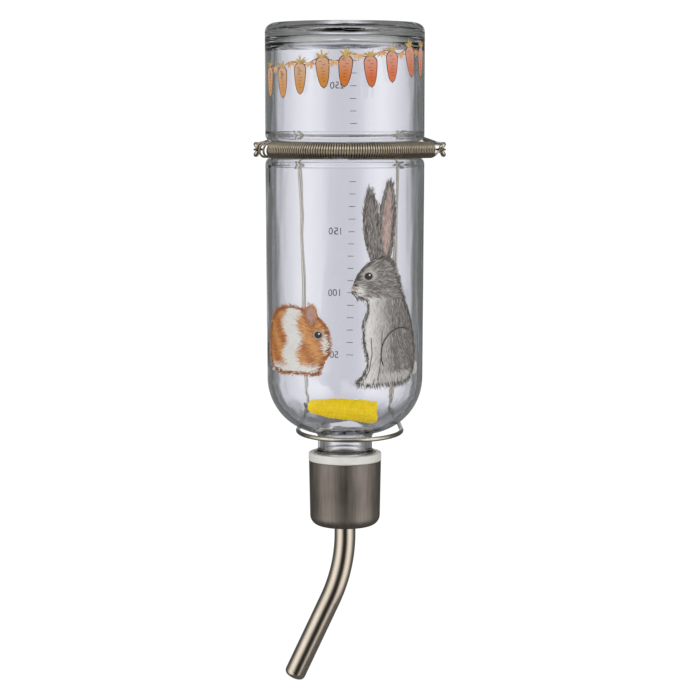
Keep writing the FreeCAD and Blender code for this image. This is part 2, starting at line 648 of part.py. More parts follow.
cob_float.setExpression("Placement.Base.z", "dims.cob_at_z - dims.cob_long / 2 * sin(dims.cob_tilt * 1 deg)")
cob_float.setExpression("Placement.Base.y", "dims.axis_at_y")


# ------------------------------------------------------------------- bent wire
# A wire's centreline is a chain of (start, corner, end) arcs: the tangents at
# the two ends of an arc meet at its corner. A straight run has its corner midway.
def straight(start, end):
    return start, (start + end) * 0.5, end


def rounded_run(corners):
    """Chain through (point, bend radius) entries; the ends have no bend."""
    chain = []
    here = corners[0][0]
    for i in range(1, len(corners) - 1):
        corner, radius = corners[i]
        toward = (corner - corners[i - 1][0]).normalize()
        away = (corners[i + 1][0] - corner).normalize()
        trim = radius * math.tan(toward.getAngle(away) / 2)
        chain.append(straight(here, corner - toward * trim))
        here = corner + away * trim
        chain.append((corner - toward * trim, corner, here))
    chain.append(straight(here, corners[-1][0]))
    return chain


def wire_along(chain, radius):
    """Round wire of this radius along a chain."""
    start, corner, _ = chain[0]
    rim = Part.makeCircle(radius, start, corner - start)
    faces = [Part.Face(Part.Wire([rim]))]
    for start, corner, end in chain:
        into = (corner - start).normalize()
        out = (end - corner).normalize()
        turn = into.getAngle(out)
        if turn < STRAIGHT_ENOUGH:
            faces.append(rim.extrude(end - start))
            rim = rim.translated(end - start)
            continue
        axis = into.cross(out).normalize()
        centre = start + axis.cross(into) * ((corner - start).Length / math.tan(turn / 2))
        faces.append(rim.revolve(centre, axis, math.degrees(turn)))
        rim = rim.copy()
        rim.rotate(centre, axis, math.degrees(turn))
    faces.append(Part.Face(Part.Wire([rim])))
    skin = Part.Compound(faces)
    skin.sewShape()
    solid = Part.Solid(skin.Shells[0] if skin.ShapeType == "Compound" else skin)
    if solid.Volume < 0:
        solid.reverse()
    return solid


STRAIGHT_ENOUGH = 1e-5

# ----------------------------------------------------------------- wire holder
# One wire: its right half runs from the tail behind the right eye, along the
# arm, over the cage bar and down to the neck ring. The left half mirrors it.
wire = val("wire_rad")
splay = math.radians(val("arm_splay"))
ahead = Vector(math.sin(splay), -math.cos(splay), 0)
groove_z = -val("groove_drop")
eye_low = Vector(val("eye_side"), -val("eye_fwd"), groove_z - val("eye_half"))
eye_high = Vector(val("eye_side"), -val("eye_fwd"), groove_z + val("eye_half"))
eye_point = Vector(val("eye_side") - val("eye_deep"), -val("eye_fwd"), groove_z)
eye_bend = val("eye_bend")
arm_knee = eye_high - ahead * val("arm_straight")
bar_top = wire
hook_y = val("throat") / 2 + wire
hook_low = -val("hook_drop")
outer = val("hook_side") + val("hairpin")
inner = val("hook_side")
hook_bend = val("hook_bend")
pin_bend = val("pin_bend")

slope = math.radians(val("ring_tilt"))
ring = val("ring_rad")
foot_x = val("ring_back_side")
foot_back = (val("axis_fwd") - hook_y) / math.cos(slope)
meet = math.atan2(foot_x, -foot_back) - math.acos(ring / math.hypot(foot_x, foot_back))


def on_ring_plane(x, back):
    """Point in the sloping plane of the neck ring, from the ring's centre."""
    rise = back * math.sin(slope)
    return Vector(x, back * math.cos(slope) - val("axis_fwd"), rise - val("ring_drop"))


def ring_arc(start, end):
    """Arc of the neck ring between two turns; 0 is its front."""
    middle = (start + end) / 2
    stretch = ring / math.cos((start - end) / 2)
    ends = [on_ring_plane(ring * math.sin(t), -ring * math.cos(t)) for t in (start, end)]
    corner = on_ring_plane(stretch * math.sin(middle), -stretch * math.cos(middle))
    return ends[0], corner, ends[1]


half_chain = rounded_run([
    (eye_low - ahead * val("eye_tail"), 0),
    (eye_low, eye_bend),
    (eye_point, eye_bend),
    (eye_high, eye_bend),
    (arm_knee, val("arm_bend")),
    (Vector(outer, -hook_y - val("arm_level"), bar_top), val("arm_end_bend")),
    (Vector(outer, hook_y, bar_top), hook_bend),
    (Vector(outer, hook_y, hook_low), pin_bend),
    (Vector(inner, hook_y, hook_low), pin_bend),
    (Vector(inner, hook_y, bar_top), hook_bend),
    (Vector(inner, -hook_y, bar_top), hook_bend),
    (on_ring_plane(foot_x, foot_back), val("ring_bend")),
    (ring_arc(meet, 0)[0], 0),
])
half_chain.append(ring_arc(meet, meet / 2))
half_chain.append(ring_arc(meet / 2, 0))


def mirrored(point):
    return Vector(-point.x, point.y, point.z)


other_chain = [tuple(mirrored(p) for p in reversed(arc)) for arc in reversed(half_chain)]
wire_holder = doc.addObject("Part::Feature", "wire_holder")
wire_holder.Label = "wire_holder"
wire_holder.Shape = wire_along(half_chain + other_chain, wire)
wire_holder.Placement = Placement()

# ------------------------------------------------------------ retaining spring
# The spring's centreline: left eye, tangent to the groove, round its front,
# tangent to the right eye. Distances run from the left eye.
spring_mid = Vector(val("axis_at_x"), val("axis_at_y"), -val("groove_drop"))
seat = val("coil_seat")
half_point = math.atan2(val("eye_deep"), val("eye_half"))
eye_saddle = eye_point + Vector(eye_bend / math.cos(half_point) - eye_bend, 0, 0)
right_reach = eye_saddle - spring_mid
left_reach = mirrored(eye_saddle) - spring_mid
right_turn = math.atan2(right_reach.x, -right_reach.y) - math.acos(seat / right_reach.Length)
left_turn = math.atan2(-left_reach.x, -left_reach.y) - math.acos(seat / left_reach.Length)
left_run = math.sqrt(left_reach.Length ** 2 - seat ** 2)
right_run = math.sqrt(right_reach.Length ** 2 - seat ** 2)
round_run = seat * (left_turn + right_turn)
spring_length = left_run + round_run + right_run


def spring_line(along):
    """Point on the spring's centreline and its heading there."""
    turn = -left_turn + (along - left_run) / seat
    turn = max(-left_turn, min(right_turn, turn))
    heading = Vector(math.cos(turn), math.sin(turn), 0)
    point = spring_mid + Vector(seat * math.sin(turn), -seat * math.cos(turn), 0)
    if along < left_run:
        point = point + heading * (along - left_run)
    elif along > left_run + round_run:
        point = point + heading * (along - left_run - round_run)
    return point, heading


def off_line(along, outward, up):
    """Point beside the centreline; outward is away from the bottle."""
    point, heading = spring_line(along)
    side = Vector(heading.y, -heading.x, 0)
    return point + side * outward + Vector(0, 0, up)


coil = val("coil_rad")
loop = val("loop_rad")
first = val("coil_start_left")
last = spring_length - val("coil_start_right")
open_turns = val("coil_open_turns")
open_length = open_turns * val("coil_open_pitch")
closed_turns = round((last - first - open_length) / val("coil_pitch")) + 0.5
closed_pitch = (last - first - open_length) / closed_turns
PER_TURN = 4


def coil_along(turns):
    if turns < open_turns:
        return first + turns * val("coil_open_pitch")
    return first + open_length + (turns - open_turns) * closed_pitch


LOOP_START = 350
LOOP_END = 90
LOOP_STEP = 26


def end_run(reach):
    """An end loop and its climb to the first coil, as (distance, outward, up).

    The loop lies flat about its eye, and the wire then rises to the top of the
    coil that starts this far away.
    """
    places = []
    for degrees in range(LOOP_START, LOOP_END - 1, -LOOP_STEP):
        turn = math.radians(degrees)
        places.append((loop * math.cos(turn), loop * math.sin(turn), 0.0))
    places.append((0.32 * reach, 0.63 * coil, 0.02 * coil))
    places.append((0.60 * reach, 0.68 * coil, 0.30 * coil))
    places.append((0.84 * reach, 0.47 * coil, 0.76 * coil))
    return places


spring_points = [off_line(a, o, u) for a, o, u in end_run(first)]
steps = int(round((open_turns + closed_turns) * PER_TURN))
for step in range(steps + 1):
    turns = step / PER_TURN
    phase = math.pi / 2 + 2 * math.pi * turns
    spring_points.append(off_line(coil_along(turns), coil * math.cos(phase), coil * math.sin(phase)))
for a, o, u in reversed(end_run(val("coil_start_right"))):
    spring_points.append(off_line(spring_length - a, o, -u))


def arc_chain(points):
    """Pairs of circular arcs through the points with no kink anywhere."""
    course = Part.BSplineCurve()
    course.interpolate(points)
    headings = []
    for point in points:
        heading = course.tangent(course.parameter(point))[0]
        headings.append(heading.normalize())
    chain = []
    for i in range(len(points) - 1):
        start, end = points[i], points[i + 1]
        t0, t1 = headings[i], headings[i + 1]
        v = end - start
        both = t0 + t1
        a = 2 * (t0.dot(t1) - 1)
        b = -2 * v.dot(both)
        c = v.dot(v)
        if abs(a) < 1e-9:
            reach = -c / b
        else:
            reach = (-b - math.sqrt(b * b - 4 * a * c)) / (2 * a)
        q0 = start + t0 * reach
        q1 = end - t1 * reach
        joint = (q0 + q1) * 0.5
        chain.append((start, q0, joint))
        chain.append((joint, q1, end))
    return chain


spring = wire_along(arc_chain(spring_points), val("coil_wire"))
retaining_spring = doc.addObject("Part::Feature", "retaining_spring")
retaining_spring.Label = "retaining_spring"
retaining_spring.Shape = spring
retaining_spring.Placement = Placement()

# ------------------------------------------------------------- check and write
doc.recompute()
for obj in doc.Objects:
    if "Invalid" in obj.State or "Error" in obj.State:
        raise RuntimeError("%s: %s" % (obj.Name, obj.State))

SUBPARTS = [bottle, cap_insert, cap_shell, bottle_seal, tube_seal, drinking_tube,
            tip_ball, upper_ball, cob_float, wire_holder, retaining_spring]
for obj in SUBPARTS:
    shape = obj.Shape
    if shape.isNull() or not shape.isValid() or len(shape.Solids) != 1:
        raise RuntimeError("%s is not one valid solid" % obj.Label)

os.makedirs("parts", exist_ok=True)
for obj in SUBPARTS:
    obj.Shape.exportStep("parts/%s.step" % obj.Label)
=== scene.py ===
import math
import random

import bmesh
import bpy
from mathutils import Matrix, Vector


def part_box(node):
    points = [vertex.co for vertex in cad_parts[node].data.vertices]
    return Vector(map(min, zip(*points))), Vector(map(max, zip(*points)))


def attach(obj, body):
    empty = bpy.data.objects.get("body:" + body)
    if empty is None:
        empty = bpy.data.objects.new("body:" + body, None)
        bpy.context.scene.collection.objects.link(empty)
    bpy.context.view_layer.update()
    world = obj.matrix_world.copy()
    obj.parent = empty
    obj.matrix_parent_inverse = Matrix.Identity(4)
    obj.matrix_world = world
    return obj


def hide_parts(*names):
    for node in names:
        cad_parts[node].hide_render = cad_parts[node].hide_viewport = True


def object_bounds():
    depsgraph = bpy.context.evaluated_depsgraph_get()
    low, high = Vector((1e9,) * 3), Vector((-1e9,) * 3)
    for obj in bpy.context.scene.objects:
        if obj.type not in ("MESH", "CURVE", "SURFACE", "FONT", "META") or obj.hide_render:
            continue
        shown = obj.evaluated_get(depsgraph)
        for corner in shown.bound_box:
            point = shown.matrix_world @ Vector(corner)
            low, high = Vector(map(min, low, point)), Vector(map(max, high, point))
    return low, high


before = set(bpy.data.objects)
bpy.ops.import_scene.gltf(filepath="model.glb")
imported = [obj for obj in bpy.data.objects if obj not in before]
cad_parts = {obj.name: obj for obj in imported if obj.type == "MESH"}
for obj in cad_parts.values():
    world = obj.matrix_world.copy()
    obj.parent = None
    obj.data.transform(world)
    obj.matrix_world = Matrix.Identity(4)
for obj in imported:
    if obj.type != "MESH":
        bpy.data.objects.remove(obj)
cad_low, cad_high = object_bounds()

MM = 0.001
FLOOR_RADIUS = 0.45
FLOOR_DROP = 0.28  # from the tip of the tube down to the floor
FLOOR_GREY = 0.22  # what the floor gives back to the part
PAPER_WHITE = 1.05  # brightness of the floor and background as the camera sees them
BRUSH_SIZE = 900.0  # scale of the marks on all the steel

# Places, all from the frame.
bottle_low, bottle_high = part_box("bottle")
AXIS_X = (bottle_low[0] + bottle_high[0]) / 2
AXIS_Y = (bottle_low[1] + bottle_high[1]) / 2
spring_low, spring_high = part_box("retaining_spring")
GROOVE = (spring_low[2] + spring_high[2]) / 2
BODY_RADIUS = (bottle_high[0] - bottle_low[0]) / 2
SHOULDER = bottle_low[2] + 45.1 * MM  # where the dome ends and the straight side begins
SHOULDER_RADIUS = 27.85 * MM  # a little less than the radius at the groove


# ------------------------------------------------------------------ materials
def new_material(name):
    """A fresh node material, its node tree and its main shader."""
    material = bpy.data.materials.new(name)
    material.use_nodes = True
    nodes = material.node_tree.nodes
    shader = nodes["Principled BSDF"]
    return material, material.node_tree, shader


def add_node(tree, kind, **settings):
    """Add a node; each setting is an input's value, or else a property of the node."""
    node = tree.nodes.new(kind)
    for key, value in settings.items():
        if key in node.inputs:
            node.inputs[key].default_value = value
        else:
            setattr(node, key, value)
    return node


def scaled_position(tree, scale):
    """Object position, stretched by scale, so that patterns follow the part."""
    place = add_node(tree, "ShaderNodeTexCoord")
    mapping = add_node(tree, "ShaderNodeMapping", Scale=scale)
    tree.links.new(place.outputs["Object"], mapping.inputs["Vector"])
    return mapping.outputs["Vector"]


def noise(tree, scale, size, detail=3.0, roughness=0.5):
    """A noise value; scale stretches it along X, Y, Z."""
    node = add_node(tree, "ShaderNodeTexNoise", Scale=size, Detail=detail, Roughness=roughness)
    tree.links.new(scaled_position(tree, scale), node.inputs["Vector"])
    return node.outputs["Fac"]


def ramp(tree, value, stops):
    """Colour for a value from 0 to 1, given as (position, colour) stops."""
    node = add_node(tree, "ShaderNodeValToRGB")
    elements = node.color_ramp.elements
    elements.remove(elements[1])
    elements[0].position = stops[0][0]
    for position, _ in stops[1:]:
        elements.new(position)
    for element, (_, colour) in zip(elements, stops):
        element.color = (*colour, 1.0)
    tree.links.new(value, node.inputs["Fac"])
    return node.outputs["Color"]


def grey_range(tree, value, low, high):
    """Spread a value from 0 to 1 over the range low to high."""
    node = add_node(tree, "ShaderNodeMapRange")
    node.inputs["To Min"].default_value = low
    node.inputs["To Max"].default_value = high
    tree.links.new(value, node.inputs["Value"])
    return node.outputs["Result"]


def bump(tree, shader, value, strength, distance):
    """Roughen a shader's surface with a value."""
    node = add_node(tree, "ShaderNodeBump", Strength=strength, Distance=distance)
    tree.links.new(value, node.inputs["Height"])
    tree.links.new(node.outputs["Normal"], shader.inputs["Normal"])


def colour_node(tree, blend, first, second):
    """Two colours multiplied or added, as blend says."""
    node = add_node(tree, "ShaderNodeMix", data_type="RGBA", blend_type=blend)
    node.inputs["Factor"].default_value = 1.0
    tree.links.new(first, node.inputs["A"])
    tree.links.new(second, node.inputs["B"])
    return node.outputs["Result"]


def in_crevices(tree, colour, reach, shade):
    """Painted shade: darken a colour towards the shade colour where ambient occlusion finds the
    surface folded closer than reach.
    """
    crevice = add_node(tree, "ShaderNodeAmbientOcclusion", Distance=reach, samples=8)
    depth = ramp(tree, crevice.outputs["AO"], [(0.35, shade), (0.95, (1.0, 1.0, 1.0))])
    return colour_node(tree, "MULTIPLY", colour, depth)


def glass_material():
    """Clear moulded glass with slow waves and fine seeds."""
    material, tree, shader = new_material("clear_glass")
    shader.inputs["Transmission Weight"].default_value = 1.0
    shader.inputs["IOR"].default_value = 1.5
    waves = noise(tree, (1.0, 1.0, 0.3), 70.0, 2.0)
    tint = ramp(tree, waves, [(0.3, (0.93, 0.935, 0.962)), (0.7, (0.955, 0.96, 0.98))])
    tree.links.new(tint, shader.inputs["Base Color"])
    tree.links.new(grey_range(tree, waves, 0.0, 0.03), shader.inputs["Roughness"])
    bump(tree, shader, waves, strength=0.25, distance=1.2 * MM)
    return material


def steel_material(name, low, high, roughness, grain=(1.0, 1.0, 1.0), strength=0.12, painted_shade_reach=0.0):
    """Steel; grain stretches its brush marks, and gap is the reach of painted shade that darkens it
    where surfaces fold close.
    """
    material, tree, shader = new_material(name)
    shader.inputs["Metallic"].default_value = 1.0
    marks = noise(tree, grain, BRUSH_SIZE, 4.0, 0.6)
    cloud = noise(tree, (1.0, 1.0, 1.0), 90.0, 2.0)
    both = add_node(tree, "ShaderNodeMath", operation="MULTIPLY_ADD")
    tree.links.new(marks, both.inputs[0])
    both.inputs[1].default_value = 0.6
    tree.links.new(grey_range(tree, cloud, 0.0, 0.4), both.inputs[2])
    colour = ramp(tree, both.outputs["Value"], [(0.25, low), (0.75, high)])
    # Painted shade where surfaces lie close, such as between the spring's coils.
    if painted_shade_reach > 0:
        colour = in_crevices(tree, colour, painted_shade_reach, (0.05, 0.045, 0.04))
    tree.links.new(colour, shader.inputs["Base Color"])
    tree.links.new(
        grey_range(tree, marks, roughness * 0.8, roughness * 1.25), shader.inputs["Roughness"]
    )
    bump(tree, shader, marks, strength, distance=0.08 * MM)
    return material


def plastic_material(name, low, high, roughness, size=160.0, translucent=0.0, painted_glow=0.0):
    """Moulded plastic; glow adds emission, a painted glow that brightens the plastic though it is
    no lamp, with painted shade in its crevices.
    """
    material, tree, shader = new_material(name)
    cloud = noise(tree, (1.0, 1.0, 1.0), size, 4.0)
    colour = ramp(tree, cloud, [(0.3, low), (0.7, high)])
    # Painted shade in the crevices, and a painted glow: the colour is also given out as emission.
    if painted_glow > 0:
        colour = in_crevices(tree, colour, 1.2 * MM, (0.55, 0.34, 0.2))
        tree.links.new(colour, shader.inputs["Emission Color"])
        shader.inputs["Emission Strength"].default_value = painted_glow
    tree.links.new(colour, shader.inputs["Base Color"])
    tree.links.new(
        grey_range(tree, cloud, roughness * 0.85, roughness * 1.2), shader.inputs["Roughness"]
    )
    bump(tree, shader, cloud, strength=0.3, distance=0.1 * MM)
    if translucent > 0:
        shader.inputs["Subsurface Weight"].default_value = translucent
        shader.inputs["Subsurface Radius"].default_value = (2 * MM, 2 * MM, 2 * MM)
        shader.inputs["Subsurface Scale"].default_value = 1.0
    return material


def ink_material():
    """Printed ink: colour from the mesh, broken up by fine grain."""
    material, tree, shader = new_material("printed_ink")
    ink = add_node(tree, "ShaderNodeAttribute", attribute_name="ink")
    grain = noise(tree, (1.0, 1.0, 1.0), 2600.0, 3.0)
    shade = add_node(tree, "ShaderNodeMix", data_type="RGBA", blend_type="MULTIPLY")
    shade.inputs["Factor"].default_value = 0.35
    tree.links.new(ink.outputs["Color"], shade.inputs["A"])
    tree.links.new(
        ramp(tree, grain, [(0.3, (0.72, 0.72, 0.72)), (0.7, (1.0, 1.0, 1.0))]), shade.inputs["B"]
    )
    tree.links.new(shade.outputs["Result"], shader.inputs["Base Color"])
    shader.inputs["Roughness"].default_value = 0.45
    return material


GLASS = glass_material()
CAP_STEEL = steel_material(
    "cap_steel", (0.115, 0.101, 0.091), (0.29, 0.263, 0.238), 0.46,
    grain=(1.0, 1.0, 0.05), strength=0.2
)
TUBE_STEEL = steel_material(
    "tube_steel", (0.42, 0.372, 0.315), (0.57, 0.512, 0.445), 0.15, grain=(1.0, 1.0, 0.05)
)
WIRE_STEEL = steel_material("wire_nickel", (0.35, 0.325, 0.272), (0.50, 0.47, 0.41), 0.14)
# Painted shade darkens the spring where its coils lie close.
SPRING_STEEL = steel_material(
    "spring_steel", (0.25, 0.21, 0.155), (0.50, 0.435, 0.345), 0.17, painted_shade_reach=0.9 * MM
)
BALL_STEEL = steel_material("ball_steel", (0.60, 0.59, 0.57), (0.72, 0.71, 0.69), 0.10)
LINER = plastic_material(
    "liner_plastic", (0.73, 0.735, 0.71), (0.84, 0.845, 0.82), 0.35, translucent=0.3
)
SILICONE = plastic_material(
    "silicone", (0.70, 0.71, 0.70), (0.80, 0.81, 0.80), 0.5, translucent=0.3
)
# The cob's yellow, with a painted glow and painted shade between its kernels.
COB_YELLOW = plastic_material(
    "cob_yellow", (0.90, 0.60, 0.0), (1.0, 0.77, 0.0), 0.5, size=420.0, painted_glow=0.5
)
INK = ink_material()

NODE_MATERIALS = {
    "bottle": GLASS,
    "cap_shell": CAP_STEEL,
    "cap_insert": LINER,
    "bottle_seal": SILICONE,
    "tube_seal": SILICONE,
    "drinking_tube": TUBE_STEEL,
    "tip_ball": BALL_STEEL,
    "upper_ball": BALL_STEEL,
    "wire_holder": WIRE_STEEL,
    "retaining_spring": SPRING_STEEL,
}
for node_name, material in NODE_MATERIALS.items():
    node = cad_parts[node_name]
    if not node.material_slots:
        node.data.materials.append(material)
    for slot in node.material_slots:
        slot.material = material


# --------------------------------------------------------------------- pieces
def new_piece(name, mesh, material, body, smooth=True):
    """Show a mesh as a piece that rides on a body and takes its finish from a slot."""
    obj = bpy.data.objects.new(name, mesh)
    bpy.context.scene.collection.objects.link(obj)
    mesh.materials.append(material)
    if smooth:
        for polygon in mesh.polygons:
            polygon.use_smooth = True
    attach(obj, body)
    return obj


# ----------------------------------------------------------------- printed art
# The art is drawn flat, in millimetres: across is the distance round the glass
# to the right of the front, and up is measured from the groove. It is then
# wrapped round the glass, each coat a little proud of the one below.
def glass_radius(up):
    """Outer radius of the straight part of the glass, in millimetres."""
    low = (SHOULDER - GROOVE) / MM
    share = min(max((up - low) / -low, 0.0), 1.0)
    return (SHOULDER_RADIUS + (BODY_RADIUS - SHOULDER_RADIUS) * share) / MM


def on_glass(across, up, lift):
    """The point of the glass that the drawing's point lands on, in metres."""
    radius = glass_radius(up)
    turn = across / radius
    reach = (radius + lift) * MM
    x = AXIS_X + reach * math.sin(turn)
    y = AXIS_Y - reach * math.cos(turn)
    return Vector((x, y, GROOVE + up * MM))


class Outline:
    """Closed smooth outline through a few points."""

    STEPS = 6  # short lines between one point and the next

    def __init__(self, points):
        self.ring = []
        count = len(points)
        for i in range(count):
            p0, p1, p2, p3 = (points[(i + k) % count] for k in (-1, 0, 1, 2))
            for k in range(self.STEPS):
                t = k / self.STEPS
                self.ring.append(tuple(
                    0.5 * (2 * b + (c - a) * t + (2 * a - 5 * b + 4 * c - d) * t * t
                           + (3 * b - a - 3 * c + d) * t ** 3)
                    for a, b, c, d in zip(p0, p1, p2, p3)))
        xs = [x for x, _ in self.ring]
        ys = [y for _, y in self.ring]
        self.box = (min(xs), min(ys), max(xs), max(ys))

    def depth(self, x, y):
        """Distance to the edge in millimetres, negative outside."""
        near = math.inf
        inside = False
        ax, ay = self.ring[-1]
        for bx, by in self.ring:
            dx, dy = bx - ax, by - ay
            share = ((x - ax) * dx + (y - ay) * dy) / (dx * dx + dy * dy)
            share = min(max(share, 0.0), 1.0)
            near = min(near, math.hypot(x - ax - dx * share, y - ay - dy * share))
            if (ay > y) != (by > y) and x < ax + (y - ay) / (by - ay) * dx:
                inside = not inside
            ax, ay = bx, by
        return near if inside else -near


class Drawing:
    """Flat coloured shapes that become one mesh on the glass, all in millimetres."""

    FIRST_COAT = 0.05  # height of the lowest coat above the glass
    COAT = 0.012  # height of each coat above the one below
    CELL = 0.4  # side of the squares that fill an outline
    FULLNESS = ((0.0, 0.5), (0.35, 1.0), (0.7, 0.65), (1.0, 0.08))  # of a hair, along it

    def __init__(self, name, seed):
        self.name = name
        self.rng = random.Random(seed)
        self.mesh = bmesh.new()
        self.layer = self.mesh.loops.layers.float_color.new("ink")

    def face(self, points, colour, coat):
        """One flat patch of colour."""
        lift = self.FIRST_COAT + self.COAT * coat
        corners = [self.mesh.verts.new(on_glass(x, y, lift)) for x, y in points]
        for loop in self.mesh.faces.new(corners).loops:
            loop[self.layer] = (*colour, 1.0)

    def wash(self, outline, tone, coat):
        """Fill an outline with small cells; tone gives the colour at a place and depth."""
        x0, y0, x1, y1 = outline.box
        cell = self.CELL
        for i in range(int((x1 - x0) / cell) + 1):
            for j in range(int((y1 - y0) / cell) + 1):
                x, y = x0 + i * cell, y0 + j * cell
                depth = outline.depth(x + cell / 2, y + cell / 2)
                if depth > 0:
                    corners = [(x, y), (x + cell, y), (x + cell, y + cell), (x, y + cell)]
                    self.face(corners, tone(x, y, depth), coat)

    def stroke(self, x, y, angle, length, width, colour, coat, bend=0.0):
        """Hair stroke from a root point: widest near the root, pointed at its end."""
        left, right = [], []
        for share, fullness in self.FULLNESS:
            turn = angle + bend * share
            px = x + math.cos(turn) * length * share
            py = y + math.sin(turn) * length * share
            half = width / 2 * fullness
            left.append((px - math.sin(turn) * half, py + math.cos(turn) * half))
            right.append((px + math.sin(turn) * half, py - math.cos(turn) * half))
        for i in range(len(left) - 1):
            self.face([right[i], right[i + 1], left[i + 1], left[i]], colour, coat)

    def fur(self, outline, count, flow, tone, length, width, coat, edge=None):
        """Scatter hair strokes over an outline, or over its edge band only."""
        x0, y0, x1, y1 = outline.box
        rng = self.rng
        made = 0
        while made < count:
            x, y = rng.uniform(x0, x1), rng.uniform(y0, y1)
            depth = outline.depth(x, y)
            if depth < 0 or (edge and depth > edge):
                continue
            made += 1
            angle = flow(x, y) + rng.gauss(0, 0.16)
            size = rng.uniform(0.6, 1.25)
            self.stroke(x, y, angle, length * size, width * rng.uniform(0.6, 1.3),
                        tone(x, y, depth), coat + rng.randrange(3), rng.gauss(0, 0.25))

    def blob(self, x, y, rx, ry, colour, coat, angle=0.0):
        """Filled oval."""
        corners = 20
        points = []
        for i in range(corners):
            turn = 2 * math.pi * i / corners
            px, py = rx * math.cos(turn), ry * math.sin(turn)
            points.append((x + px * math.cos(angle) - py * math.sin(angle),
                           y + px * math.sin(angle) + py * math.cos(angle)))
        for i in range(1, corners - 1):
            self.face([points[0], points[i], points[i + 1]], colour, coat)

    def line(self, points, width, colour, coat):
        """Ribbon of even width through the points."""
        for (ax, ay), (bx, by) in zip(points, points[1:]):
            length = math.hypot(bx - ax, by - ay)
            nx = -(by - ay) / length * width / 2
            ny = (bx - ax) / length * width / 2
            corners = [
                (ax - nx, ay - ny), (bx - nx, by - ny), (bx + nx, by + ny), (ax + nx, ay + ny)]
            self.face(corners, colour, coat)

    def arc(self, x, y, radius, start, end, width, colour, coat, flat=1.0):
        """Part of an oval line; flat squeezes it from top to bottom."""
        parts = 12
        turns = [math.radians(start + (end - start) * k / parts) for k in range(parts + 1)]
        self.line([(x + radius * math.cos(t), y + radius * flat * math.sin(t)) for t in turns],
                  width, colour, coat)

    def finish(self):
        """Put the drawing on the bottle."""
        mesh = bpy.data.meshes.new(self.name)
        self.mesh.to_mesh(mesh)
        self.mesh.free()
        new_piece(self.name, mesh, INK, "bottle", smooth=False)


def mixed(a, b, share):
    """Colour a with a share of colour b in it."""
    share = min(max(share, 0.0), 1.0)
    return tuple(p + (q - p) * share for p, q in zip(a, b))


BLACK = (0.012, 0.010, 0.010)
WHITE = (0.85, 0.85, 0.84)
GREY_DARK = (0.040, 0.033, 0.030)
GREY_MID = (0.13, 0.112, 0.105)
GREY_LIGHT = (0.42, 0.40, 0.39)
GINGER_DARK = (0.16, 0.045, 0.012)
GINGER = (0.50, 0.16, 0.035)
GINGER_LIGHT = (0.74, 0.36, 0.12)
PINK = (0.46, 0.28, 0.25)


def eye(art, x, y, size, coat):
    """A dark round eye in a pale ring, with one glint."""
    art.blob(x, y, size * 1.5, size * 1.25, GREY_LIGHT, coat)
    art.blob(x, y, size * 1.18, size * 1.02, GREY_DARK, coat + 1)
    art.blob(x, y, size, size * 0.92, BLACK, coat + 2)
    art.blob(x + size * 0.3, y + size * 0.35, size * 0.24, size * 0.24, WHITE, coat + 3)


def whiskers(art, x, y, heading, coat):
    """A fan of five fine whiskers."""
    for k in range(5):
        art.stroke(x, y - 0.3 * k, heading + math.radians(24 - 12 * k), 6.0 - 0.4 * k, 0.09,
                   mixed(GREY_LIGHT, WHITE, 0.7), coat, 0.25 - 0.12 * k)


